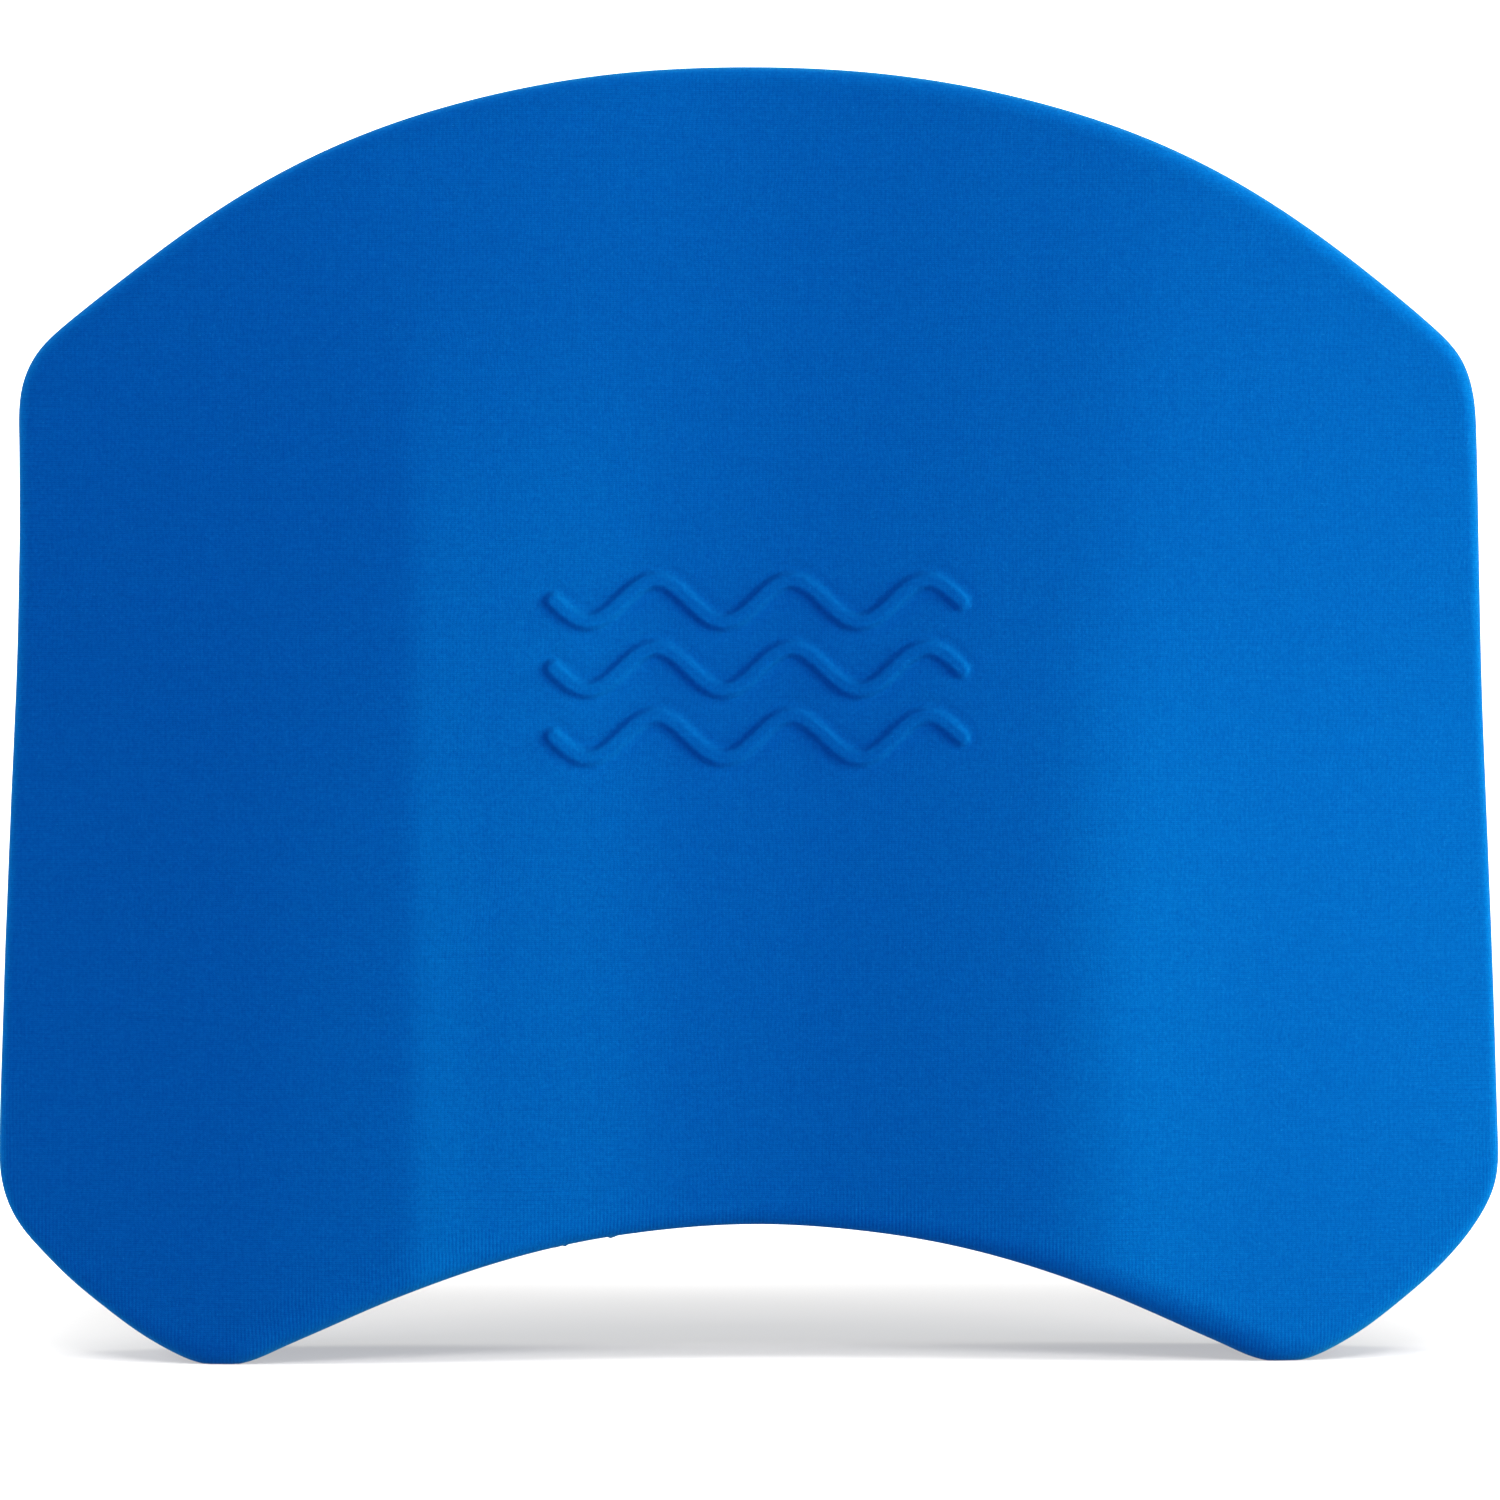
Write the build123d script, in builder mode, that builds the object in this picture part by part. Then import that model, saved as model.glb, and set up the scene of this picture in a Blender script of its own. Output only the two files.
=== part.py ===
from build123d import *
import math
import os

# Moulded kickboard float: a kickboard and pull buoy in one.
#
# Frame: millimetres, +Z up along the board, +X to the right, the front face
# towards -Y.  The board stands on its two feet.  The origin is on the ground,
# midway between the feet, on the parting plane (Y = 0).
#
# Construction: two compression-moulded EVA foam halves, bonded together on the
# parting plane.  Each half carries a knitted fabric skin, held to the foam by a
# heat-activated adhesive film, that wraps over the face and down the side wall
# as far as the parting line.

# ---------------------------------------------------------------- dimensions
HEIGHT = 250.0          # feet to crown
ARCH_HEIGHT = 26.8      # height of the arch between the feet
FOOT_X = 102.2          # middle of a foot
FOOT_FLAT = 0.35        # how much of the rounded foot is pressed flat

SKIN_T = 0.8            # fabric skin
FILM_T = 0.25           # adhesive film between fabric and foam
BOND_T = 0.3            # bond layer between the foam halves
FOAM_INSET = SKIN_T + FILM_T    # from the outside of the board to the foam
EDGE_R = 5.0            # rounding from the face into the side wall
SEAM_BEVEL = 0.35       # fabric edges tucked in along the parting line

RIDGE_X = 66.5          # least half spacing of the two ridges
FLANK_SLOPE = 0.25      # fall of the flank beside a ridge
FLANK_BEND = 0.00115    # how the flank steepens outwards, per mm
WAIST_HALF = 50.0       # half width of the narrow hollow between the ridges

EMBLEM_Z = 133.5        # centre of the raised wave emblem
EMBLEM_W = 78.0         # its width, less the rounded ends
EMBLEM_WAVE = 26.0      # wavelength
EMBLEM_AMP = 4.0        # height of a wave above its centre line
EMBLEM_PITCH = 13.0     # from one wave line to the next
EMBLEM_STROKE = 3.0     # width of a wave line
EMBLEM_RISE = 0.9       # how far it stands above the face
EMBLEM_STEPS = 48       # steps along each edge of a wave line

# Working sizes: all reach past the shape they make or trim.
BLANK_DEPTH = 45.0      # front of the uncut blocks, from the parting plane
EMBLEM_BACK = 20.0      # back of the uncut emblem, from the parting plane
FACE_TRIM = 60.0        # sweep of the cut in front of the moulded face
EMBLEM_TRIM = 40.0      # sweep of the cuts in front of and behind the emblem
GROUND_CUT = (400.0, 120.0, 5.0)    # X, Y and depth of the cut below the feet
MIN_FACE_AREA = 30000   # only the moulded face and the parting face are larger
STATIONS = 120          # points taken round the outline for drawing it in

# Profiles along the height of the board, as (z, value), in millimetres
# except FLANK_SHARE, which scales the fall of the flank.
RIDGE_HEIGHT = [    # parting plane to ridge
    (-40, 30.0), (0, 31.2), (40, 32.5), (80, 33.0), (120, 32.4), (150, 31.2),
    (180, 29.2), (210, 26.6), (235, 23.8), (252, 21.6), (290, 17.0),
]
FLANK_SHARE = [
    (-40, 0.76), (0, 0.80), (24, 0.86), (60, 0.97), (90, 1.0), (120, 0.97),
    (150, 0.83), (180, 0.67), (210, 0.53), (240, 0.44), (290, 0.38),
]
RIDGE_SPREAD = [    # added to RIDGE_X
    (-40, 2.0), (0, 1.5), (40, 0.5), (80, 0.0), (120, 0.0), (160, 1.5),
    (190, 3.5), (215, 7.5), (240, 13.5), (290, 20.0),
]
RIDGE_SOFT = [      # width over which the ridge bends into the flank
    (-40, 2.6), (20, 2.6), (80, 3.0), (130, 3.8), (180, 5.5), (220, 7.5), (290, 9.0),
]
WAIST_BROAD = [     # depth of the hollow that spans from ridge to ridge
    (-40, 4.0), (10, 3.6), (40, 2.0), (75, 1.2), (120, 0.9), (200, 0.7), (290, 0.5),
]
WAIST_NARROW = [    # depth of the narrower hollow within it
    (-40, 2.6), (40, 2.4), (110, 2.1), (180, 1.7), (250, 1.5), (290, 1.4),
]

# Right half of the outline, from the arch round the foot to the crown, as (x, z).
OUTLINE = [
    (18.0, 25.75), (36.0, 22.95), (54.0, 18.1), (72.0, 11.3), (84.0, 5.9),
    (91.5, 2.6), (97.0, 0.4), (FOOT_X, -FOOT_FLAT), (107.2, 0.25), (112.0, 2.2),
    (118.0, 5.75), (125.0, 10.9), (131.0, 15.8), (136.5, 21.1), (141.3, 27.3),
    (144.2, 34.2), (145.0, 43.0), (144.6, 63.0), (143.75, 88.0), (142.75, 113.0),
    (141.75, 138.0), (141.1, 163.0), (140.7, 179.0), (140.0, 187.5), (137.6, 194.4),
    (132.0, 200.6), (123.0, 208.1), (110.0, 217.8), (94.0, 227.8), (75.0, 236.7),
    (52.0, 243.9), (27.0, 248.5),
]


# -------------------------------------------------------------- moulded face
def along(z, rows):
    """Smooth monotone interpolation through rows of (z, value)."""
    if z <= rows[0][0]:
        return rows[0][1]
    if z >= rows[-1][0]:
        return rows[-1][1]
    steps = [(b[1] - a[1]) / (b[0] - a[0]) for a, b in zip(rows, rows[1:])]
    # The harmonic mean of neighbouring steps keeps the curve from overshooting.
    inner_slopes = [0.0 if p * q <= 0 else 2 * p * q / (p + q) for p, q in zip(steps, steps[1:])]
    slopes = [0.0] + inner_slopes + [0.0]
    i = max(k for k in range(len(rows) - 1) if rows[k][0] <= z)
    (z0, value0), (z1, value1) = rows[i], rows[i + 1]
    span = z1 - z0
    t = (z - z0) / span
    return (
        (2 * t**3 - 3 * t**2 + 1) * value0
        + (t**3 - 2 * t**2 + t) * span * slopes[i]
        + (3 * t**2 - 2 * t**3) * value1
        + (t**3 - t**2) * span * slopes[i + 1]
    )


def half_thickness(x, z):
    """Distance from the parting plane to the moulded face at (x, z)."""
    ridge_x = RIDGE_X + along(z, RIDGE_SPREAD)
    soft = along(z, RIDGE_SOFT)
    # Distance outside the ridge, fading softly to nothing inside it (softplus,
    # in two forms so that the exponential cannot overflow).
    ratio = (abs(x) - ridge_x) / soft
    if ratio > 0:
        outside = soft * (ratio + math.log1p(math.exp(-ratio)))
    else:
        outside = soft * math.log1p(math.exp(ratio))
    fall = FLANK_SLOPE * outside + FLANK_BEND * outside * outside / 2
    flank = along(z, FLANK_SHARE) * fall

    share = min(1.0, (x / ridge_x) ** 2)
    hollow = along(z, WAIST_BROAD) * (1 - share) ** 2 * (1 + share)
    if abs(x) < WAIST_HALF:
        hollow += along(z, WAIST_NARROW) * 0.5 * (1 + math.cos(math.pi * x / WAIST_HALF))
    return along(z, RIDGE_HEIGHT) - flank - hollow


def face_surface(x_range, z_range, x_step, z_step, tol):
    """The front moulded face, fitted through a grid of points."""
    columns = round((x_range[1] - x_range[0]) / x_step) + 1
    rows = round((z_range[1] - z_range[0]) / z_step) + 1
    xs = [x_range[0] + x_step * i for i in range(columns)]
    zs = [z_range[0] + z_step * j for j in range(rows)]
    points = [[(x, -half_thickness(x, z), z) for x in xs] for z in zs]
    return Face.make_surface_from_array_of_points(points, tol=tol)


# The whole face, well past the outline.
front_face = face_surface((-160.0, 160.0), (-20.0, 260.0), x_step=5.0, z_step=10.0, tol=0.004)

# ------------------------------------------------------------------- outline
with BuildLine(Plane.XZ) as outline:
    left_half = [(-x, z) for x, z in OUTLINE[::-1]]
    Spline((0, ARCH_HEIGHT), *OUTLINE, (0, HEIGHT), *left_half, periodic=True)

stations = []           # point and unit tangent, as (x, z, tangent x, tangent z)
for i in range(STATIONS):
    point = outline.line @ (i / STATIONS)
    tangent = outline.line % (i / STATIONS)
    stations.append((point.X, point.Z, tangent.X, tangent.Z))


def inset(depth):
    """The outline drawn in by depth, as points."""
    return [(x - depth * tz, z + depth * tx) for x, z, tx, tz in stations]


# -------------------------------------------------------------- nested halves
def envelope(depth, base=0.0):
    """A moulded front half, drawn in all round by depth, its back base before the parting plane."""
    with BuildPart() as half:
        with BuildSketch(Plane.XZ.offset(base)):
            with BuildLine():
                Spline(*inset(depth), periodic=True)
            make_face()
        extrude(amount=BLANK_DEPTH)
        trim_face = front_face.moved(Location((0, depth, 0)))
        extrude(to_extrude=trim_face, amount=FACE_TRIM, dir=(0, -1, 0), mode=Mode.SUBTRACT)
        large_faces = half.faces().filter_by(lambda f: f.area > MIN_FACE_AREA)
        fillet(large_faces.sort_by(Axis.Y)[0].edges(), EDGE_R - depth)
    return half.part


def parting_face(body):
    """The flat face of a half, on the parting plane."""
    return body.faces().filter_by(GeomType.PLANE).filter_by(Axis.Y).sort_by(Axis.Y)[-1]


def shell_between(outer, inner):
    """The laminate between two nested halves, closed by a narrow rim on the parting plane."""
    rim_out, rim_in = parting_face(outer), parting_face(inner)
    walls = [f for f in outer.faces() if not f.is_same(rim_out)]
    walls += [f for f in inner.faces() if not f.is_same(rim_in)]
    rim = Face(rim_out.outer_wire(), [rim_in.outer_wire()])
    return Solid(Shell(walls + [rim])).fix()


def laminate(outer, inner):
    """A front layer, filling the gap between two nested halves."""
    with BuildPart() as layer:
        add(shell_between(outer, inner))
    return layer.part


def mirrored(body):
    """The rear twin of a front body."""
    with BuildPart() as twin:
        add(body)
        mirror(about=Plane.XZ, mode=Mode.REPLACE)
    return twin.part


# ------------------------------------------------------------- raised emblem
def wave_point(x, side, middle_z):
    """A point on the upper (side +1) or lower (-1) edge of a wave stroke."""
    phase = 2 * math.pi * x / EMBLEM_WAVE
    slope = EMBLEM_AMP * 2 * math.pi / EMBLEM_WAVE * math.cos(phase)
    run = math.hypot(1, slope)
    reach = side * EMBLEM_STROKE / 2
    z = EMBLEM_AMP * math.sin(phase) + reach / run + middle_z
    return Vector(x - slope / run * reach, z)


def wave_emblem():
    """Three stacked wave lines, from half way into the skin to above the face."""
    surface = face_surface(
        (-50.0, 50.0), (EMBLEM_Z - 30, EMBLEM_Z + 30), x_step=5.0, z_step=5.0, tol=0.01
    )
    top = surface.moved(Location((0, -EMBLEM_RISE, 0)))
    root = surface.moved(Location((0, SKIN_T / 2, 0)))
    xs = [-EMBLEM_W / 2 + EMBLEM_W * i / EMBLEM_STEPS for i in range(EMBLEM_STEPS + 1)]
    with BuildPart() as waves:
        with BuildSketch(Plane.XZ.offset(EMBLEM_BACK)):
            for row in (-1, 0, 1):
                with BuildLine():
                    middle_z = row * EMBLEM_PITCH + EMBLEM_Z
                    upper = [wave_point(x, 1, middle_z) for x in xs]
                    lower = [wave_point(x, -1, middle_z) for x in xs]
                    Spline(*upper)
                    Spline(*lower)
                    # Round ends, bulging left (-1) and right (+1).
                    for end, way in ((0, -1), (-1, 1)):
                        a, b = upper[end], lower[end]
                        across = (a - b).normalized()
                        outward = Vector(across.Y, -across.X) * (way * EMBLEM_STROKE / 2)
                        ThreePointArc(a, (a + b) * 0.5 + outward, b)
                make_face()
        extrude(amount=BLANK_DEPTH - EMBLEM_BACK)
        extrude(to_extrude=top, amount=EMBLEM_TRIM, dir=(0, -1, 0), mode=Mode.SUBTRACT)
        extrude(to_extrude=root, amount=EMBLEM_TRIM, dir=(0, 1, 0), mode=Mode.SUBTRACT)
    return waves.part


# ------------------------------------------------------------------- outsides
# Both are built as front halves; the rear skin is mirrored afterwards.
emblem = wave_emblem()
with BuildPart() as rear_outside:
    add(envelope(0))
    with BuildSketch(Plane.XY):
        Rectangle(GROUND_CUT[0], GROUND_CUT[1])
    extrude(amount=-GROUND_CUT[2], mode=Mode.SUBTRACT)      # the flats the feet stand on
    chamfer(parting_face(rear_outside.part).edges(), SEAM_BEVEL)
with BuildPart() as front_outside:
    add(rear_outside.part)
    add(emblem)
under_skin = envelope(SKIN_T)
under_film = envelope(FOAM_INSET)


# --------------------------------------------------------------------- pieces
def bond_layer():
    """The flat layer between the foam halves, centred on the parting plane."""
    with BuildPart() as bond:
        with BuildSketch(Plane.XZ.offset(-BOND_T / 2)):
            with BuildLine():
                Spline(*inset(FOAM_INSET), periodic=True)
            make_face()
        extrude(amount=BOND_T)
    return bond.part


def foam_half():
    """The front foam half, set back from the parting plane by half the bond."""
    with BuildPart() as foam:
        add(envelope(FOAM_INSET, BOND_T / 2))
    return foam.part


front_film = laminate(under_skin, under_film)
front_foam = foam_half()
pieces = {
    "front_fabric_skin": laminate(front_outside.part, under_skin),
    "front_adhesive_film": front_film,
    "front_foam_half": front_foam,
    "core_bond_layer": bond_layer(),
    "rear_foam_half": mirrored(front_foam),
    "rear_adhesive_film": mirrored(front_film),
    "rear_fabric_skin": mirrored(shell_between(rear_outside.part, under_skin)),
}

os.makedirs("parts", exist_ok=True)
for name, piece in pieces.items():
    piece.label = name
    export_step(piece, f"parts/{name}.step")
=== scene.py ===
"""A waisted foam board in two knit fabric skins, with an arch cut into its lower edge.

The board stands upright: +Z is up, +X is right and the front faces -Y. The skins meet on the
parting plane y = 0. Shapes are worked out in millimetres; lights, floor and camera in metres.
"""
import math
import bpy
import numpy as np
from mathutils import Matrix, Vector, geometry


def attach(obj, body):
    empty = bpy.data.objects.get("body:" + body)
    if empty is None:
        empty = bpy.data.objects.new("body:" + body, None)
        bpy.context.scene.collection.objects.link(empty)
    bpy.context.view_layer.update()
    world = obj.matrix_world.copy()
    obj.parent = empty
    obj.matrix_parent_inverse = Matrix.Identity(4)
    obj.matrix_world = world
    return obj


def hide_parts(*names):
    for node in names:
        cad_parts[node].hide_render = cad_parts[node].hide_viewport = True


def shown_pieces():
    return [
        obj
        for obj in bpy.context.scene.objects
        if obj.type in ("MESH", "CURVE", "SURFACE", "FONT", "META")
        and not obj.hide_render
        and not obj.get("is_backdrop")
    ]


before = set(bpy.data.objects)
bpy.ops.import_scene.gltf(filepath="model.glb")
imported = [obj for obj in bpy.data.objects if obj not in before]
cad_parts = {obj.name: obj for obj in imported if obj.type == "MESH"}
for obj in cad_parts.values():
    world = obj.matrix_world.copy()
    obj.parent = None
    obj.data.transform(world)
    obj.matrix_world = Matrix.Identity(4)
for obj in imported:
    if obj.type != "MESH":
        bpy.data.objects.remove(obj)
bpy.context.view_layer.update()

MM = 0.001

# ---------------------------------------------------------------- dimensions, mm
HEIGHT, ARCH_HEIGHT = 250.0, 26.8

# The face has a rounded ridge at each side, a hollow between them and a flank outside each.
RIDGE_X = 66.5                              # ridge from the middle, before it spreads
FLANK_SLOPE, FLANK_BEND = 0.25, 0.00115     # fall of the flank, and its growth per mm
WAIST_HALF = 50.0                           # half width of the narrow hollow
# Stations up the face: (z, value)
RIDGE_HEIGHT = [
    (-40, 30.0), (0, 31.2), (40, 32.5), (80, 33.0), (120, 32.4), (150, 31.2), (180, 29.2),
    (210, 26.6), (235, 23.8), (252, 21.6), (290, 17.0),
]
FLANK_SHARE = [
    (-40, 0.76), (0, 0.80), (24, 0.86), (60, 0.97), (90, 1.0), (120, 0.97), (150, 0.83),
    (180, 0.67), (210, 0.53), (240, 0.44), (290, 0.38),
]
RIDGE_SPREAD = [
    (-40, 2.0), (0, 1.5), (40, 0.5), (80, 0.0), (120, 0.0), (160, 1.5), (190, 3.5),
    (215, 7.5), (240, 13.5), (290, 20.0),
]
RIDGE_SOFT = [
    (-40, 2.6), (20, 2.6), (80, 3.0), (130, 3.8), (180, 5.5), (220, 7.5), (290, 9.0),
]
WAIST_BROAD = [
    (-40, 4.0), (10, 3.6), (40, 2.0), (75, 1.2), (120, 0.9), (200, 0.7), (290, 0.5),
]
WAIST_NARROW = [(-40, 2.6), (40, 2.4), (110, 2.1), (180, 1.7), (250, 1.5), (290, 1.4)]

# Right half of the outline from the arch to the crown: (x, z)
OUTLINE = [
    (18.0, 25.8), (36.0, 23.15), (54.0, 18.4), (72.0, 11.65), (84.0, 6.25), (91.5, 2.85),
    (97.0, 0.5), (102.2, -0.35), (107.2, 0.25), (112.0, 2.2), (118.2, 5.75), (125.3, 10.9),
    (131.4, 15.8), (136.9, 21.1), (141.8, 27.3), (145.0, 34.2), (145.55, 43.0), (145.05, 63.0),
    (144.2, 88.0), (143.15, 113.0), (142.1, 138.0), (141.35, 163.0), (140.9, 179.0),
    (140.15, 187.5), (137.6, 194.35), (131.85, 200.45), (122.8, 207.8), (109.8, 217.5),
    (93.9, 227.6), (75.0, 236.6), (52.0, 243.9), (27.0, 248.5),
]
# The left shoulder and lower corner stand out a little more. z: extra width
LEFT_EXTRA = {27.3: 0.35, 163.0: 0.25, 179.0: 0.75, 187.5: 1.05, 194.35: 0.70, 200.45: 0.30}
# Rounding from face to side wall: (way from the arch's middle 0 to the crown 1, radius)
EDGE = [
    (0.0, 4.4), (0.09, 5.0), (0.17, 6.0), (0.225, 5.8), (0.28, 3.8), (0.36, 2.9), (0.5, 3.0),
    (0.62, 3.4), (0.7, 4.2), (0.8, 4.8), (1.0, 5.0),
]

# Three stacked wave lines pressed up out of the front
EMBLEM_Z, EMBLEM_W, EMBLEM_WAVE, EMBLEM_AMP = 133.5, 78.0, 26.0, 4.0
EMBLEM_PITCH, EMBLEM_RISE = 13.0, 1.2
LINE_HALF, LINE_SHOULDER = 0.85, 1.15                   # flat top, then the fall beside it
GROOVE_DEPTH, GROOVE_AT, GROOVE_WIDTH = 0.10, 2.7, 0.9  # fabric drawn down beside a line
EMBLEM_MARGIN = 8.0
EMBLEM_WINDOW = (-46, 46, EMBLEM_Z - 24, EMBLEM_Z + 24)  # finely meshed: x0, x1, z0, z1
WINDOW_STEP = 0.42

SKIN_THICKNESS = 0.68
RING = 1400                     # points round the outline
OUTER_ROUND_STEPS, INNER_ROUND_STEPS = 12, 6
OUTER_WALL_STEPS, INNER_WALL_STEPS = 14, 5
INNER_COARSER = 2.2             # mesh step of the inside against the outside
UNEVEN = [(0.045, 23.0), (0.022, 9.0), (0.006, 3.6)]    # (depth, cell size)
INNER_UNEVEN = 0.6              # share of the unevenness that reaches the inside

# Seam and side wall
SEAM_RUN = 1900.0               # noise length once round the outline
TUCK = [(0.004, 0.55), (0.10, 0.30), (0.26, 0.11), (0.55, 0.02)]  # (from parting plane, inset)
SEAM_START = TUCK[0][0]
WALL_START = 0.75
TUCK_RAG, ROW_RAG = 0.35, 0.05  # raggedness of the tuck's inset and of its rows
ARCH_BELOW = 40                 # outline below this z may carry the lumps
SPECK_X, SPECK_SPREAD, SPECK_BASE = -32, 9.0, 0.12
SPECK_GAIN, SPECK_MAX, SPECK_FADE = 2.6, 1.25, 0.4
LUMP_X, LUMP_SPREAD, LUMP_GAIN, LUMP_MAX = -31.5, 5.5, 1.2, 0.6
LUMP_LEVEL, LUMP_BAND = 0.88, 0.12   # place up the wall, as a share of it
WALL_BULGE, WALL_UNEVEN, WALL_CELL = 0.22, 0.05, 14.0

ARC_PER_RADIUS = 1.35           # knit length over the rounding
UV_PER_MM = 0.01


# --------------------------------------------------------------- moulded shape
def smooth(t):
    return t * t * (3 - 2 * t)


def along(at, stations):
    """Monotone cubic through the stations, held level beyond both ends."""
    knots, values = np.array(stations, float).T
    steep = np.diff(values) / np.diff(knots)
    slopes = np.zeros(len(knots))
    before, after = steep[:-1], steep[1:]
    same = before * after > 0
    slopes[1:-1][same] = 2 * before[same] * after[same] / (before[same] + after[same])
    at = np.clip(at, knots[0], knots[-1])
    i = np.clip(np.searchsorted(knots, at, side="right") - 1, 0, len(knots) - 2)
    width = knots[i + 1] - knots[i]
    t = (at - knots[i]) / width
    return ((2 * t**3 - 3 * t**2 + 1) * values[i]
            + (t**3 - 2 * t**2 + t) * width * slopes[i]
            + (3 * t**2 - 2 * t**3) * values[i + 1]
            + (t**3 - t**2) * width * slopes[i + 1])


def half_thickness(x, z):
    """Height of the smooth face above the parting plane."""
    ridge = RIDGE_X + along(z, RIDGE_SPREAD)
    soft = along(z, RIDGE_SOFT)
    beyond = soft * np.logaddexp(0, (np.abs(x) - ridge) / soft)
    flank = along(z, FLANK_SHARE) * (FLANK_SLOPE * beyond + FLANK_BEND * beyond * beyond / 2)
    s = np.minimum(1.0, (x / ridge) ** 2)
    hollow = along(z, WAIST_BROAD) * (1 - s) ** 2 * (1 + s)
    narrow = along(z, WAIST_NARROW) * 0.5 * (1 + np.cos(np.pi * x / WAIST_HALF))
    hollow = hollow + np.where(np.abs(x) < WAIST_HALF, narrow, 0)
    return along(z, RIDGE_HEIGHT) - flank - hollow


def value_noise(x, z, cell, seed):
    """Smooth random field between -1 and 1."""
    grid = np.random.default_rng(seed).uniform(-1, 1, (256, 256))
    u, v = x / cell + 91.3, z / cell + 57.7
    i, j = np.floor(u).astype(int), np.floor(v).astype(int)
    u, v = u - i, v - j
    u, v = (t * t * t * (t * (6 * t - 15) + 10) for t in (u, v))
    low = grid[i % 256, j % 256] * (1 - u) + grid[(i + 1) % 256, j % 256] * u
    high = grid[i % 256, (j + 1) % 256] * (1 - u) + grid[(i + 1) % 256, (j + 1) % 256] * u
    return low * (1 - v) + high * v


def unevenness(x, z, seed):
    """The small unevenness of moulded foam under a stretched knit."""
    return sum(depth * value_noise(x, z, cell, seed + k)
               for k, (depth, cell) in enumerate(UNEVEN))


def distance_to(targets, points):
    """Distance from each point to its nearest target, worked out in batches to save memory."""
    nearest = np.empty(len(points))
    batch = 2000
    for start in range(0, len(points), batch):
        offset = points[start:start + batch, None] - targets[None]
        nearest[start:start + batch] = np.sqrt((offset * offset).sum(2).min(1))
    return nearest


wave_x = np.linspace(-EMBLEM_W / 2, EMBLEM_W / 2, 600)
wave_z = EMBLEM_AMP * np.sin(2 * np.pi * wave_x / EMBLEM_WAVE)
emblem_lines = np.vstack([np.c_[wave_x, wave_z + EMBLEM_Z + row * EMBLEM_PITCH]
                          for row in (-1, 0, 1)])


def emblem(x, z):
    """Rise of the wave lines, with the fabric drawn down beside them."""
    out = np.zeros(np.shape(x))
    near = ((np.abs(x) < EMBLEM_W / 2 + EMBLEM_MARGIN)
            & (np.abs(z - EMBLEM_Z) < EMBLEM_PITCH + EMBLEM_AMP + EMBLEM_MARGIN))
    distance = distance_to(emblem_lines, np.c_[x[near], z[near]])
    rise = 1 - smooth(np.clip((distance - LINE_HALF) / LINE_SHOULDER, 0, 1))
    groove = GROOVE_DEPTH * np.exp(-((distance - GROOVE_AT) / GROOVE_WIDTH) ** 2)
    out[near] = EMBLEM_RISE * rise - groove
    return out


def closed_spline(points, count):
    """A closed C2 cubic through points, resampled evenly along its length.

    Returns places, unit tangents and the share of the length at each place.
    """
    knots = np.array(points, float)
    total = len(knots)
    spans = np.linalg.norm(np.roll(knots, -1, 0) - knots, axis=1)
    matrix = np.zeros((total, total))
    right = np.zeros((total, 2))
    for i in range(total):
        j = (i + 1) % total
        before, after = spans[i - 1], spans[i]
        matrix[i, i - 1] += before
        matrix[i, i] += 2 * (before + after)
        matrix[i, j] += after
        right[i] = 6 * ((knots[j] - knots[i]) / after - (knots[i] - knots[i - 1]) / before)
    bend = np.linalg.solve(matrix, right)
    fine = []
    for i in range(total):
        j = (i + 1) % total
        span = spans[i]
        t = np.linspace(0, span, 200, endpoint=False)[:, None]
        u = span - t
        fine.append(bend[i] * u**3 / (6 * span) + bend[j] * t**3 / (6 * span)
                    + (knots[i] / span - bend[i] * span / 6) * u
                    + (knots[j] / span - bend[j] * span / 6) * t)
    curve = np.vstack(fine + [fine[0][:1]])
    length = np.r_[0, np.cumsum(np.linalg.norm(np.diff(curve, axis=0), axis=1))]
    at = np.linspace(0, length[-1], count, endpoint=False)
    places = np.c_[np.interp(at, length, curve[:, 0]), np.interp(at, length, curve[:, 1])]
    tangents = np.roll(places, -1, 0) - np.roll(places, 1, 0)
    return places, tangents / np.linalg.norm(tangents, axis=1)[:, None], at / length[-1]


left_outline = [(-x - LEFT_EXTRA.get(z, 0.0), z) for x, z in OUTLINE[::-1]]
rim, rim_tangent, rim_share = closed_spline(
    [(0, ARCH_HEIGHT)] + OUTLINE + [(0, HEIGHT)] + left_outline, RING)
inward = np.c_[-rim_tangent[:, 1], rim_tangent[:, 0]]
edge_radius = along(np.where(rim_share <= 0.5, rim_share, 1 - rim_share) * 2, EDGE)
seam_run = rim_share * SEAM_RUN


# ---------------------------------------------------------------- fabric skins
# A row is one ring of points: (plan points x z, height from the parting plane).
def edge_rounding(depth, face, steps):
    """The rounding for an envelope drawn in by depth: its foot, the wall's top and its rows."""
    base = rim + inward * depth
    radius = np.maximum(edge_radius - depth, 0.8)
    base_height = face(base)
    slope = np.arctan((face(base + inward * 2.0) - base_height) / 2.0)
    reach = radius * np.tan((np.pi / 2 - slope) / 2)
    rows = []
    for k in range(steps + 1):
        angle = np.pi + (np.pi / 2 + slope - np.pi) * k / steps
        inset = radius + radius * np.cos(angle)
        height = base_height - reach + radius * np.sin(angle)
        share = np.clip(inset / (reach * np.cos(slope)), 0, 1)
        plan = base + inward * inset[:, None]
        # ease from the straight tangent onto the curved face
        height = height + (face(plan) - (base_height + inset * np.tan(slope))) * share**2
        rows.append((plan, height))
    return base, base_height - reach, rows


def wall_levels(top, steps):
    """Shares up the wall and their heights, short of both ends."""
    return [(k / steps, WALL_START + (top - WALL_START) * (k / steps))
            for k in range(1, steps)]


def inner_wall(base, top):
    return [(base, SEAM_START + 0 * top)] + [
        (base, height) for _, height in wall_levels(top, INNER_WALL_STEPS)]


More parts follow.
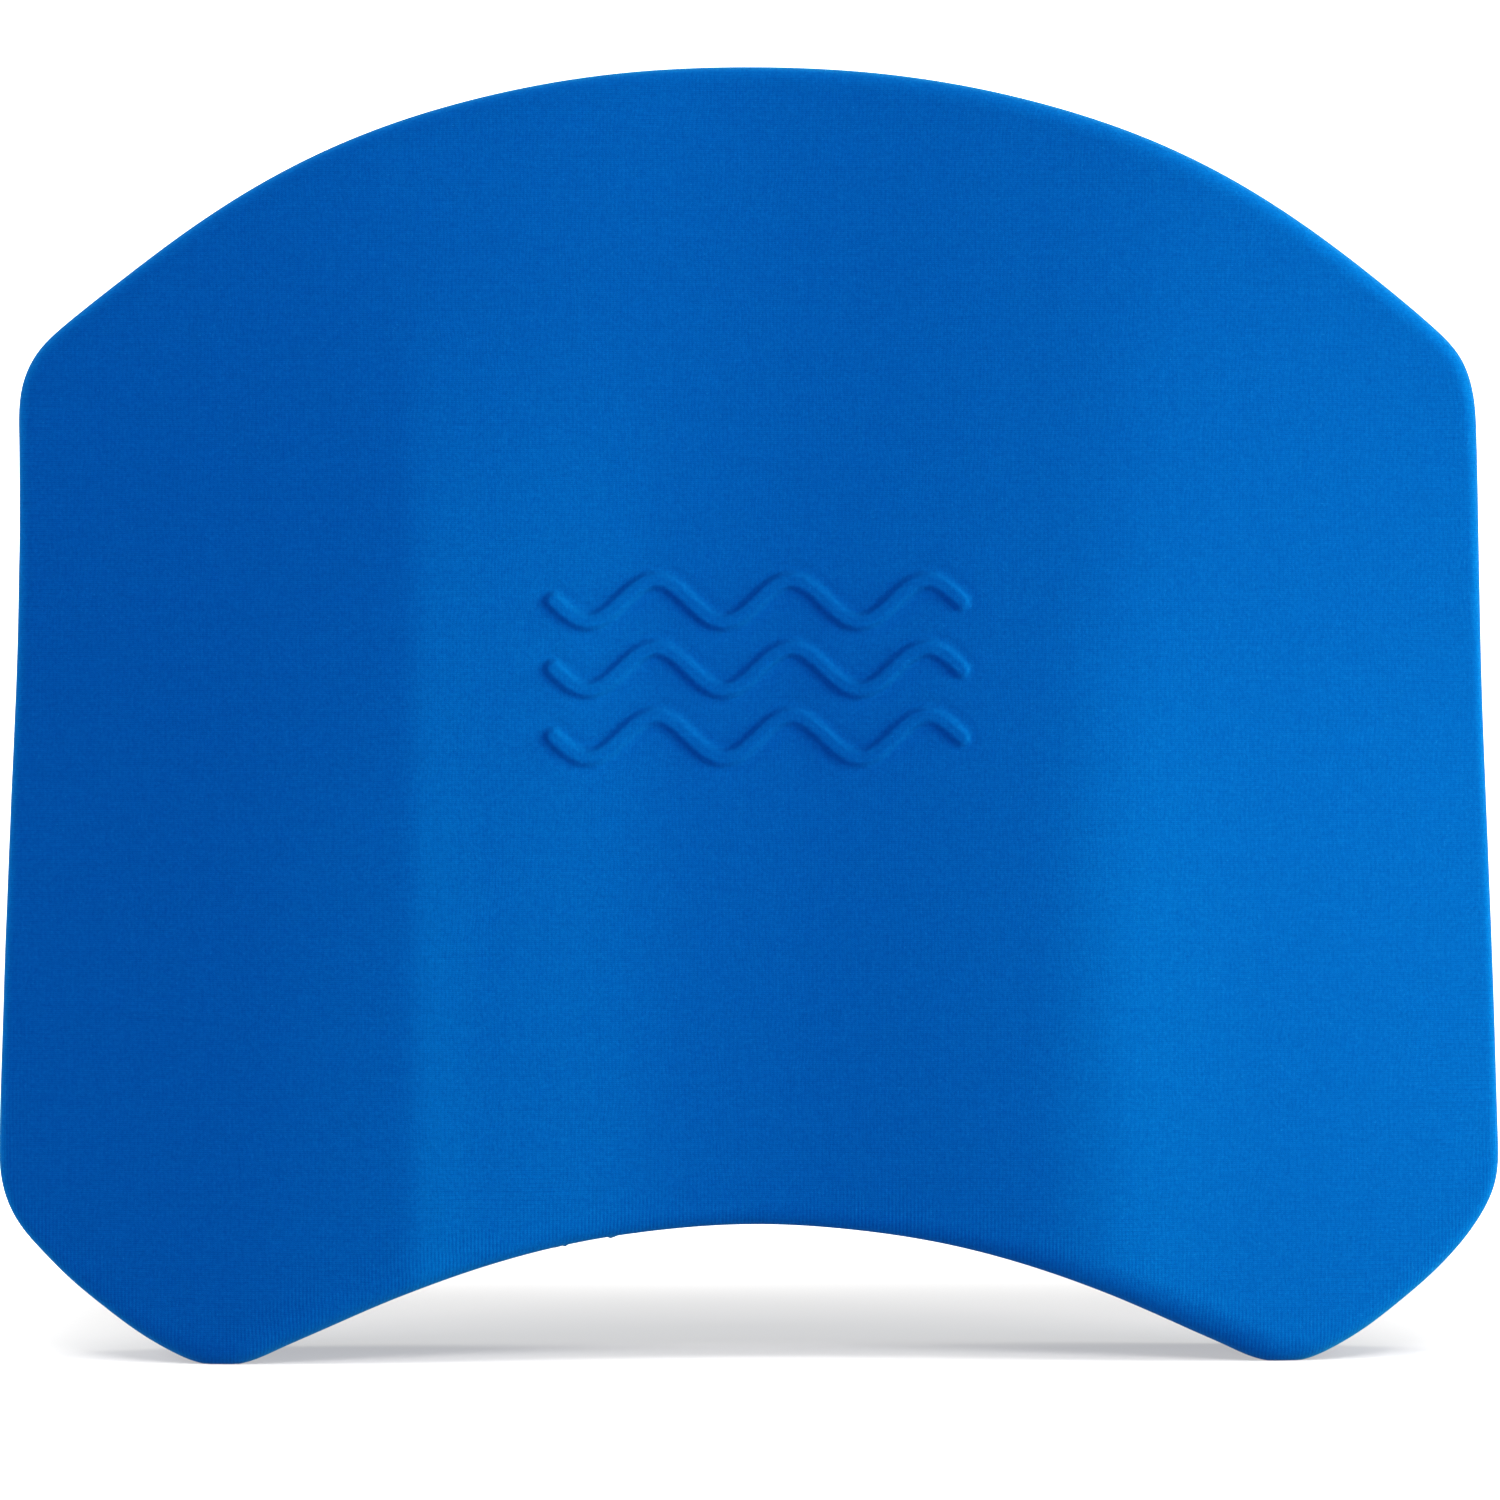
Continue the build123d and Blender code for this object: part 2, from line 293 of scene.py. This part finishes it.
def outer_wall(base, top, front, seed):
    """Rows from the ragged tuck at the parting plane up to where the rounding starts."""
    ragged = (value_noise(seam_run, 0.0, 2.2, seed + 11) * 0.6
              + value_noise(seam_run, 0.0, 0.9, seed + 12) * 0.4)
    x, z = rim.T
    on_arch = z < ARCH_BELOW
    # specks stand out of the seam, mostly left of the arch's middle
    specks = np.maximum(0, value_noise(seam_run, 0.0, 1.7, seed + 31)) ** 1.5
    specks = specks * (SPECK_BASE + np.exp(-((x - SPECK_X) / SPECK_SPREAD) ** 2) * on_arch)
    specks = np.minimum(specks * SPECK_GAIN, SPECK_MAX)
    rows = []
    for height, tuck in TUCK:
        inset = tuck * (1 + TUCK_RAG * ragged) - specks * math.exp(-height / SPECK_FADE)
        rag = ROW_RAG * (ragged + 1) if height > 0.05 else 0 * ragged
        rows.append((base + inward * inset[:, None], height + rag))
    # lumps under the fabric of the arch, near the front face only
    lumps = np.maximum(0, value_noise(seam_run, 0.0, 1.5, seed + 77))
    lumps = lumps * np.exp(-((x - LUMP_X) / LUMP_SPREAD) ** 2) * on_arch
    lumps = np.minimum(lumps * LUMP_GAIN, LUMP_MAX) * front
    for share, height in wall_levels(top, OUTER_WALL_STEPS):
        middle = math.sin(math.pi * share)
        uneven = WALL_UNEVEN * value_noise(seam_run, height + seed, WALL_CELL, seed + 5)
        out = ((WALL_BULGE + uneven) * middle
               + lumps * math.exp(-((share - LUMP_LEVEL) / LUMP_BAND) ** 2))
        rows.append((base - inward * out[:, None], height))
    return rows


def staggered(xs, zs, step):
    """Grid points with every second row moved half a step to the right."""
    grid_x, grid_z = np.meshgrid(xs, zs)
    grid_x[1::2] += step / 2
    return np.c_[grid_x.ravel(), grid_z.ravel()]


def interior(ring, step, window):
    """Grid points inside a ring, kept a little clear of it, denser in the window if any."""
    low, high = ring.min(0), ring.max(0)
    xs = np.arange(low[0], high[0], step)
    points = staggered(xs - (xs[0] + xs[-1]) / 2, np.arange(low[1], high[1], step), step)
    if window:
        x0, x1, z0, z1 = window
        x, z = points.T
        points = points[~((x > x0) & (x < x1) & (z > z0) & (z < z1))]
        points = np.vstack([points, staggered(np.arange(x0, x1 + 1e-6, WINDOW_STEP),
                                              np.arange(z0, z1 + 1e-6, WINDOW_STEP),
                                              WINDOW_STEP)])
    # inside test by crossing number, row by row
    start, end = ring, np.roll(ring, -1, 0)
    inside = np.zeros(len(points), bool)
    for level in np.unique(np.round(points[:, 1], 6)):
        row = np.abs(points[:, 1] - level) < 1e-5
        hit = (start[:, 1] > level) != (end[:, 1] > level)
        a, b = start[hit], end[hit]
        crossings = np.sort(a[:, 0] + (level - a[:, 1]) / (b[:, 1] - a[:, 1])
                            * (b[:, 0] - a[:, 0]))
        inside[row] = (np.searchsorted(crossings, points[row, 0]) % 2) == 1
    points = points[inside]
    return points[distance_to(ring[::2], points) >= step * 0.55]


def fill(ring, points):
    """Triangles over a ring and the points inside it; indices run ring first, then points."""
    count = len(ring)
    places = [Vector(place) for place in np.vstack([ring, points]).tolist()]
    edges = [(i, (i + 1) % count) for i in range(count)]
    result = geometry.delaunay_2d_cdt(places, edges, [list(range(count))], 1, 1e-7)
    faces, origins = result[2], result[3]
    source = np.array([origin[0] if origin else -1 for origin in origins])
    return source[np.array([face for face in faces if len(face) == 3])]


def build_shell(front, outer, step, seed):
    """One side of a skin: places, flat knit coordinates, weave pull, quads and triangles."""
    depth = 0.0 if outer else SKIN_THICKNESS

    def face(plan):
        x, z = plan.T
        lift = unevenness(x, z, seed)
        if not outer:
            lift = INNER_UNEVEN * lift
        elif front:
            lift = lift + emblem(x, z)
        return half_thickness(x, z) - depth + lift

    round_steps = OUTER_ROUND_STEPS if outer else INNER_ROUND_STEPS
    base, top, rounding = edge_rounding(depth, face, round_steps)
    wall = outer_wall(base, top, front, seed) if outer else inner_wall(base, top)
    rows = wall + rounding
    edge = rounding[-1][0]
    points = interior(edge, step, EMBLEM_WINDOW if front and outer else None)

    plan = np.vstack([row[0] for row in rows] + [points])
    height = np.concatenate([row[1] for row in rows] + [face(points)])
    places = np.c_[plan[:, 0], -height if front else height, plan[:, 1]]

    # the knit is laid flat over the face and runs on outwards down the wall
    arc = edge_radius * ARC_PER_RADIUS
    runs = [top - level + arc for _, level in wall]
    runs += [arc * (1 - k / round_steps) for k in range(round_steps + 1)]
    flat = np.vstack([edge - inward * run[:, None] for run in runs] + [points])

    # the knit is pulled most near the edge and low down
    near = np.r_[np.ones(len(rows) * RING), np.exp(-distance_to(edge[::4], points) / 9.0)]
    weave = near * (0.30 + 0.70 * smooth(np.clip((85 - plan[:, 1]) / 60, 0, 1)))

    rings = np.arange(len(rows) * RING).reshape(-1, RING)
    turned = np.roll(rings, -1, 1)
    quads = np.stack([rings[:-1], turned[:-1], turned[1:], rings[1:]], -1).reshape(-1, 4)
    lid = np.arange(rings[-1, 0], len(plan))
    triangles = lid[fill(edge, points)]
    if not outer:
        quads, triangles = quads[:, ::-1], triangles[:, ::-1]
    return places, flat, weave, quads, triangles


def build_skin(name, front, step, seed):
    """A fabric skin as a closed thin shell: outside, inside and the edge on the parting line."""
    outside = build_shell(front, True, step, seed)
    inside = build_shell(front, False, step * INNER_COARSER, seed)
    places, flat, weave = (np.concatenate(pair) for pair in zip(outside[:3], inside[:3]))
    start = len(outside[0])
    outer_ring = np.arange(RING)
    inner_ring = start + outer_ring
    seam = np.c_[outer_ring, inner_ring, np.roll(inner_ring, -1), np.roll(outer_ring, -1)]
    quads = np.vstack([outside[3], inside[3] + start, seam])
    triangles = np.vstack([outside[4], inside[4] + start])
    if not front:
        quads, triangles = quads[:, ::-1], triangles[:, ::-1]
    places[:, 2] = np.maximum(places[:, 2], 0.0)    # flats the feet stand on

    mesh = bpy.data.meshes.new(name)
    mesh.from_pydata((places * MM).tolist(), [],
                     [tuple(face) for face in quads.tolist() + triangles.tolist()])
    mesh.update()
    pull = mesh.attributes.new("weave", "FLOAT", "POINT")
    pull.data.foreach_set("value", weave.astype(np.float32))
    layer = mesh.uv_layers.new(name="knit")
    corners = np.zeros(len(mesh.loops), np.int32)
    mesh.loops.foreach_get("vertex_index", corners)
    layer.data.foreach_set("uv", (flat[corners] * UV_PER_MM).ravel().astype(np.float32))
    mesh.shade_smooth()
    skin = bpy.data.objects.new(name, mesh)
    bpy.context.scene.collection.objects.link(skin)
    return skin


# ------------------------------------------------------------------ materials
class ShaderNet:
    """A short hand for writing a material's node tree."""

    def __init__(self, name):
        self.mat = bpy.data.materials.new(name)
        self.mat.use_nodes = True
        self.tree = self.mat.node_tree
        self.tree.nodes.clear()
        self.out = self.node("ShaderNodeOutputMaterial")

    def node(self, kind, **settings):
        node = self.tree.nodes.new(kind)
        for key, value in settings.items():
            setattr(node, key, value)
        return node

    def put(self, socket, value):
        if isinstance(value, bpy.types.NodeSocket):
            self.tree.links.new(value, socket)
        else:
            socket.default_value = value

    def fed(self, node, *values):
        """Fill a node's inputs in order."""
        for i, value in enumerate(values):
            self.put(node.inputs[i], value)
        return node

    def calc(self, operation, a, b=0.0):
        return self.fed(self.node("ShaderNodeMath", operation=operation), a, b, 0.0).outputs[0]

    def add(self, a, b):
        return self.calc("ADD", a, b)

    def minus(self, a, b):
        return self.calc("SUBTRACT", a, b)

    def times(self, a, b):
        return self.calc("MULTIPLY", a, b)

    def noise(self, vector, scale, detail=2.0, roughness=0.5):
        node = self.node("ShaderNodeTexNoise")
        self.put(node.inputs["Vector"], vector)
        node.inputs["Scale"].default_value = scale
        node.inputs["Detail"].default_value = detail
        node.inputs["Roughness"].default_value = roughness
        return node.outputs["Fac"]

    def stretched(self, x, x_scale, y, y_scale, offset, detail):
        """Noise with its own scale each way."""
        place = self.combine(self.times(x, x_scale), self.times(y, y_scale), offset)
        return self.noise(place, 1.0, detail)

    def combine(self, x, y, z):
        return self.fed(self.node("ShaderNodeCombineXYZ"), x, y, z).outputs[0]

    def separate(self, vector):
        return self.fed(self.node("ShaderNodeSeparateXYZ"), vector).outputs

    def place(self):
        return self.node("ShaderNodeTexCoord").outputs["Object"]

    def mix(self, factor, a, b):
        node = self.node("ShaderNodeMix", data_type="RGBA")
        self.put(node.inputs["Factor"], factor)
        self.put(node.inputs[6], a)
        self.put(node.inputs[7], b)
        return node.outputs[2]

    def remap(self, value, start, end, low=0.0, high=1.0, kind="LINEAR"):
        node = self.node("ShaderNodeMapRange", interpolation_type=kind)
        return self.fed(node, value, start, end, low, high).outputs[0]

    def ease(self, value, start, end, high=1.0):
        return self.remap(value, start, end, high=high, kind="SMOOTHSTEP")

    def finish(self, shader):
        self.put(self.out.inputs[0], shader.outputs[0])
        return self.mat

    def surface(self, colour, settings, height, strength, distance):
        """Finish as a principled surface with a bump."""
        shader = self.node("ShaderNodeBsdfPrincipled")
        for key, value in {"Base Color": colour, **settings}.items():
            self.put(shader.inputs[key], value)
        bump = self.node("ShaderNodeBump")
        bump.inputs["Strength"].default_value = strength
        bump.inputs["Distance"].default_value = distance
        self.put(bump.inputs["Height"], height)
        self.put(shader.inputs["Normal"], bump.outputs[0])
        return self.finish(shader)


BLUE = (0.0009, 0.1215, 0.528)
WALE, COURSE = 0.52, 0.40               # stitch pitch across and up, mm
SWAY, JITTER = 2.4, 0.35                # slow and quick wander of the yarns, stitches
LEG_SLANT, ROW_FLOOR = 1.1, 0.35        # slant of a stitch's legs, height kept between courses
ROW_LINES, COLUMN_LINES = 0.80, 0.70    # pitch of the opened rows and columns, mm
LINE_WANDER = 9.0                       # radians
# Share of each part in the tone: flat base, then the parts
TONE, TONE_STITCH, TONE_STREAK, TONE_MOTTLE, TONE_GRAIN, TONE_LINES = (
    0.84, 0.20, 0.06, 0.07, 0.34, 0.085)
BUMP_STITCH, BUMP_STREAK, BUMP_GRAIN = 0.055, 0.010, 0.048
# Painted light: the slopes inside the ridges and the ridge crests are lightened in tone in place
# of shading
SLOPE_BASE, INNER_PAINTED_LIGHT, CREST_PAINTED_HIGHLIGHT = 0.985, 0.085, 0.075
RIGHT_LESS = 0.75                       # share of the painted light inside the ridges lost right of the middle
GRAIN_RED = 0.006                       # red added by the grain
# the fuzz colour, its falloff and its share below make a painted sheen along the outline
FLECK, FUZZ_SHEEN = (0.02, 0.30, 0.80, 1), (0.075, 0.21, 0.55, 1)
FUZZ_SHEEN_POWER, FUZZ_SHEEN_SHARE = 5.0, 0.75


def pulled_lines(net, x, y, flat, sway_x, sway_y, seed):
    """Fine lines where the knit is pulled round an edge and its rows open up."""
    add, minus, times = net.add, net.minus, net.times
    pull = net.node("ShaderNodeAttribute", attribute_name="weave").outputs["Fac"]

    def wave(at, pitch, sway):
        return net.calc("SINE", add(times(at, 2 * math.pi / pitch), times(sway, LINE_WANDER)))

    rows = wave(y, ROW_LINES, sway_y)
    columns = wave(x, COLUMN_LINES, sway_x)
    patch = net.remap(net.noise(flat, scale=0.045), 0.40, 0.62)
    broken = net.remap(net.stretched(x, 0.16, y, 0.9, seed + 27.0, detail=2.0), 0.36, 0.62)
    # rows show at middling pull, in patches; columns at strong pull, less in the patches
    away = times(times(pull, minus(1.0, pull)), 1.9)
    row_part = times(times(rows, broken), times(away, add(0.25, times(patch, 0.75))))
    strong = net.calc("POWER", pull, 2.0)
    return add(row_part, times(columns, times(strong, minus(0.95, times(patch, 0.45)))))


def painted_slope_light(net):
    """Painted light: a lighter tone on the slopes inside the ridges and a painted highlight on
    the ridge crests, in place of shading; places in metres.
    """
    minus, times, ease = net.minus, net.times, net.ease
    x, _, z = net.separate(net.place())
    side = net.calc("ABSOLUTE", x)
    inner = times(times(ease(side, 0.0690, 0.0625), ease(side, 0.010, 0.036)),
                  ease(z, 0.215, 0.150))
    crest = times(times(ease(side, 0.050, 0.064), ease(side, 0.106, 0.070)),
                  ease(z, 0.175, 0.080))
    inner = times(inner, minus(1.0, times(ease(x, -0.005, 0.010), RIGHT_LESS)))
    return net.add(times(inner, INNER_PAINTED_LIGHT), times(crest, CREST_PAINTED_HIGHLIGHT))


def knit_material(name, base, seed):
    net = ShaderNet(name)
    add, minus, times, calc = net.add, net.minus, net.times, net.calc
    knit = net.separate(net.node("ShaderNodeUVMap", uv_map="knit").outputs[0])
    x = times(knit[0], 1 / UV_PER_MM)
    y = times(knit[1], 1 / UV_PER_MM)
    flat = net.combine(x, y, seed * 3.7)
    # position counted in stitches, wandering a little
    sway_x = net.stretched(x, 0.05, y, 0.05, seed, detail=3.0)
    sway_y = net.stretched(x, 0.05, y, 0.05, seed + 5.0, detail=3.0)
    wales = add(calc("DIVIDE", x, WALE), times(sway_x, SWAY))
    courses = add(calc("DIVIDE", y, COURSE), times(sway_y, SWAY))
    wales = add(wales, times(minus(net.noise(flat, scale=2.1), 0.5), JITTER))

    def hump(t):
        return minus(1.0, times(t, t))

    # each stitch has two rounded legs, slanting to a V
    across = calc("ABSOLUTE", minus(calc("FRACT", wales), 0.5))   # 0 mid wale, .5 between
    legs = hump(times(calc("ABSOLUTE", minus(across, 0.25)), 4.0))
    row = calc("FRACT", minus(courses, times(across, LEG_SLANT)))
    rows = hump(minus(times(row, 2.0), 1.0))
    stitch = times(legs, add(ROW_FLOOR, times(rows, 1 - ROW_FLOOR)))
    # single wales and courses are thicker or thinner than their neighbours
    wale = calc("FLOOR", add(wales, 0.0))
    course = calc("FLOOR", courses)
    wale_tone = net.stretched(wale, 0.73, y, 0.055, seed + 1.3, detail=1.0)
    course_tone = net.stretched(x, 0.04, course, 0.61, seed + 9.1, detail=1.0)
    streak = add(times(minus(wale_tone, 0.5), 0.55), times(minus(course_tone, 0.5), 0.75))
    mottle = minus(net.noise(flat, scale=0.55, detail=3.0, roughness=0.6), 0.5)
    grain = minus(net.noise(flat, scale=1.55, detail=3.0, roughness=0.62), 0.5)
    lines = pulled_lines(net, x, y, flat, sway_x, sway_y, seed)
    shade = TONE
    for part, share in ((stitch, TONE_STITCH), (streak, TONE_STREAK), (mottle, TONE_MOTTLE),
                        (grain, TONE_GRAIN), (lines, TONE_LINES)):
        shade = add(shade, times(part, share))
    # painted light: the tone is lifted on the inner slopes and along the ridge crests
    shade = times(shade, add(SLOPE_BASE, painted_slope_light(net)))
    green = times(times(shade, shade), base[1])
    red = add(base[0], times(calc("MAXIMUM", grain, 0.0), GRAIN_RED))
    colour = net.combine(red, green, times(shade, base[2]))
    # stray light fibres
    fleck = net.noise(net.combine(x, y, seed + 20.0), scale=2.6, detail=0.0)
    colour = net.mix(net.remap(fleck, 0.80, 0.90, high=0.25), colour, FLECK)
    # painted sheen: the colour turns paler toward the outline, where the fuzz would catch the
    # light
    facing = net.node("ShaderNodeLayerWeight")
    facing.inputs["Blend"].default_value = 0.5
    outline_sheen = calc("POWER", facing.outputs["Facing"], FUZZ_SHEEN_POWER)
    colour = net.mix(times(outline_sheen, FUZZ_SHEEN_SHARE), colour, FUZZ_SHEEN)
    height = add(times(stitch, BUMP_STITCH),
                 add(times(streak, BUMP_STREAK), times(grain, BUMP_GRAIN)))
    return net.surface(colour, {
        "Roughness": 0.88,
        "Specular IOR Level": 0.0,
        "Sheen Weight": 0.30,
        "Sheen Roughness": 0.35,
        "Sheen Tint": (0.0, 0.74, 1.0, 1),
    }, height, strength=0.8, distance=0.001)


def foam_material():
    net = ShaderNet("closed-cell foam")
    place = net.place()
    cells = net.node("ShaderNodeTexVoronoi", feature="DISTANCE_TO_EDGE")
    net.put(cells.inputs["Vector"], place)
    cells.inputs["Scale"].default_value = 2600.0
    tone = net.remap(net.noise(place, scale=90.0, detail=4.0, roughness=0.6), 0.3, 0.7)
    colour = net.mix(tone, (0.010, 0.055, 0.20, 1), (0.018, 0.085, 0.27, 1))
    return net.surface(colour, {
        "Roughness": 0.72,
        "Subsurface Weight": 0.06,
        "Subsurface Radius": (0.0008, 0.0012, 0.002),
    }, cells.outputs["Distance"], strength=0.5, distance=0.0001)


def glue_material(name, colour, transmission, roughness):
    net = ShaderNet(name)
    ripple = net.noise(net.place(), scale=220.0, detail=4.0, roughness=0.55)
    darker = (*[channel * 0.9 for channel in colour], 1)
    tint = net.mix(net.remap(ripple, 0.3, 0.7), darker, (*colour, 1))
    return net.surface(tint, {
        "Roughness": roughness,
        "Transmission Weight": transmission,
    }, ripple, strength=0.35, distance=0.0001)


# (side, front, mesh step in mm, shape seed, knit seed)
SKINS = [("front", True, 1.25, 21, 1.0), ("rear", False, 1.9, 57, 4.0)]
skins = [build_skin(side + "_knit_skin", front, step, seed)
         for side, front, step, seed, _ in SKINS]
for skin, (side, *_, knit_seed) in zip(skins, SKINS):
    fabric = side + "_fabric"
    skin.data.materials.append(knit_material(fabric + " knit", BLUE, knit_seed))
    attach(skin, "root")
    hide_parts(fabric + "_skin")

foam = foam_material()
film = glue_material("adhesive film", (0.72, 0.70, 0.60), transmission=0.35, roughness=0.32)
bond = glue_material("bond layer", (0.62, 0.56, 0.40), transmission=0.1, roughness=0.45)
for piece, material in (("front_foam_half", foam), ("rear_foam_half", foam),
                        ("front_adhesive_film", film), ("rear_adhesive_film", film),
                        ("core_bond_layer", bond)):
    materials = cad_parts[piece].data.materials
    materials.clear()
    materials.append(material)

# ---------------------------------------------------------------------- stage, m
FLOOR_REFLECT, FLOOR_GAIN = 0.04, 0.16  # for bounced light, and extra for the camera
FLOOR_MOTTLE = 0.006
FLOOR_BASE = 0.47                       # glow everywhere
FAR_GLOW, SIDE_GLOW = 1.3, 0.22         # extra glow behind the board and out to its sides
FLOOR_FRONT, FLOOR_HALF_WIDTH = -14.0, 4.0
SWEEP_START, SWEEP_RADIUS, SWEEP_TOP, SWEEP_STEPS = 1.2, 0.9, 4.0, 24


def floor_material():
    """Paper that looks white to the camera but throws little light back."""
    net = ShaderNet("floor paper")
    add, times = net.add, net.times
    place = net.place()
    tone = net.noise(place, scale=6.0, detail=3.0)
    seen = net.node("ShaderNodeLightPath").outputs["Is Camera Ray"]
    bright = add(FLOOR_REFLECT, times(seen, FLOOR_GAIN))
    bright = add(bright, times(net.minus(tone, 0.5), FLOOR_MOTTLE))
    lit = net.fed(net.node("ShaderNodeBsdfDiffuse"), net.combine(bright, bright, bright))
    x, y, _ = net.separate(place)
    far = net.ease(y, 0.12, 0.60, high=FAR_GLOW)
    wide = net.ease(net.calc("ABSOLUTE", x), 0.105, 0.165, high=SIDE_GLOW)
    glow = net.node("ShaderNodeEmission")
    net.put(glow.inputs["Strength"], times(add(add(far, wide), FLOOR_BASE), seen))
    paper = net.fed(net.node("ShaderNodeAddShader"), lit.outputs[0], glow.outputs[0])
    # the paper's back is clear, so the board can be seen from behind and below
    back = net.node("ShaderNodeNewGeometry").outputs["Backfacing"]
    clear = net.node("ShaderNodeBsdfTransparent").outputs[0]
    return net.finish(net.fed(net.node("ShaderNodeMixShader"), back, paper.outputs[0], clear))


def build_floor():
    """A level floor that curves up into a back wall."""
    sweep = [(FLOOR_FRONT, 0.0)]
    for k in range(SWEEP_STEPS + 1):
        angle = math.pi / 2 * k / SWEEP_STEPS
        sweep.append((SWEEP_START + SWEEP_RADIUS * math.sin(angle),
                      SWEEP_RADIUS - SWEEP_RADIUS * math.cos(angle)))
    sweep.append((SWEEP_START + SWEEP_RADIUS, SWEEP_TOP))
    places = [(x, y, z) for y, z in sweep for x in (-FLOOR_HALF_WIDTH, FLOOR_HALF_WIDTH)]
    faces = [(2 * i, 2 * i + 1, 2 * i + 3, 2 * i + 2) for i in range(len(sweep) - 1)]
    mesh = bpy.data.meshes.new("floor")
    mesh.from_pydata(places, [], faces)
    mesh.shade_smooth()
    floor = bpy.data.objects.new("floor", mesh)
    mesh.materials.append(floor_material())
    bpy.context.scene.collection.objects.link(floor)
    return floor


floor = build_floor()
floor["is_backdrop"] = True


def light_group(name, members):
    group = bpy.data.collections.new(name)
    for member in members:
        group.objects.link(member)
    return group


on_board = light_group("lit board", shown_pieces())
on_floor = light_group("lit floor", [floor])
AIM = Vector((0, 0, 0.12))      # the board's middle


def softbox(name, azimuth, elevation, distance, width, height, power, colour, receivers):
    """A softbox aimed at the board's middle. Azimuth 0 is in front, 90 is on the right."""
    turn, rise = math.radians(azimuth), math.radians(elevation)
    place = AIM + distance * Vector((math.sin(turn) * math.cos(rise),
                                     -math.cos(turn) * math.cos(rise), math.sin(rise)))
    lamp = bpy.data.lights.new(name, "AREA")
    lamp.shape = "RECTANGLE"
    lamp.size, lamp.size_y = width, height
    lamp.energy = power
    lamp.color = colour
    light = bpy.data.objects.new(name, lamp)
    light.location = place
    light.rotation_mode = "QUATERNION"
    light.rotation_quaternion = (AIM - place).to_track_quat("-Z", "Y")
    bpy.context.scene.collection.objects.link(light)
    light.light_linking.receiver_collection = receivers
    return light


COOL, WARM, PAPER = (0.90, 0.62, 1.0), (0.90, 1.0, 0.68), (1.0, 0.985, 0.965)
KEY, RIGHT = (0.9, 1.0, 0.65), (0.9, 1.0, 0.62)
BOARD_BOX = (1.8, 1.0, 1.2)     # distance, width, height
# (name, azimuth, elevation, power, colour)
for name, azimuth, elevation, power, colour in [
    ("front fill", -20, 12, 12.0, COOL),
    ("front right", 20, 12, 5.2, COOL),
    ("left", -50, 15, 1.8, WARM),
    ("key", 50, 10, 26.5, KEY),
    ("key right", 80, 12, 36.0, RIGHT),
    ("edge left", -105, 12, 43.0, WARM),
    ("edge right", 105, 12, 50.0, RIGHT),
    ("top", 0, 88, 1.5, COOL),
    ("crown", 180, 60, 26.0, (0.9, 0.9, 1.0)),
]:
    softbox(name, azimuth, elevation, *BOARD_BOX, power, colour, on_board)
# light thrown back up by the paper, which doesn't block it
bounce = softbox("bounce", 0, -86, *BOARD_BOX, 11.0, (0.9, 0.85, 1.0), on_board)
bounce.light_linking.blocker_collection = on_board
# (name, azimuth, elevation, distance, width, height, power)
for spec in [
    ("floor front", 0, 52, 1.8, 2.6, 0.5, 68.0),
    ("floor low", 0, 27, 1.8, 0.8, 0.4, 62.0),
    ("floor left", -55, 25, 1.8, 0.8, 0.5, 34.0),
    ("floor right", 55, 25, 1.8, 0.8, 0.5, 34.0),
    ("floor top", 0, 88, 1.03, 3.0, 3.0, 22.0),
    ("floor back", 155, 70, 1.0, 1.5, 0.5, 10.0),
]:
    softbox(*spec, PAPER, on_floor)

world = bpy.data.worlds.new("studio")
world.use_nodes = True
background = world.node_tree.nodes["Background"]
background.inputs[0].default_value = (1, 1, 1, 1)
background.inputs[1].default_value = 0.0
scene = bpy.context.scene
scene.world = world

CAMERA_DISTANCE, CAMERA_HEIGHT = 1.5, 0.118
CAMERA_YAW = math.radians(2.5)      # stands a little to the left
lens = bpy.data.cameras.new("camera")
lens.sensor_width = 36.0
lens.lens = 184.344
lens.clip_start, lens.clip_end = 0.05, 50.0
camera = bpy.data.objects.new("camera", lens)
scene.collection.objects.link(camera)
view = Vector((math.sin(CAMERA_YAW), math.cos(CAMERA_YAW), 0))
camera.location = (-CAMERA_DISTANCE * view.x, -CAMERA_DISTANCE * view.y, CAMERA_HEIGHT)
camera.rotation_mode = "QUATERNION"
camera.rotation_quaternion = view.to_track_quat("-Z", "Y")
scene.camera = camera
scene.view_settings.view_transform = "Standard"
scene.view_settings.look = "None"
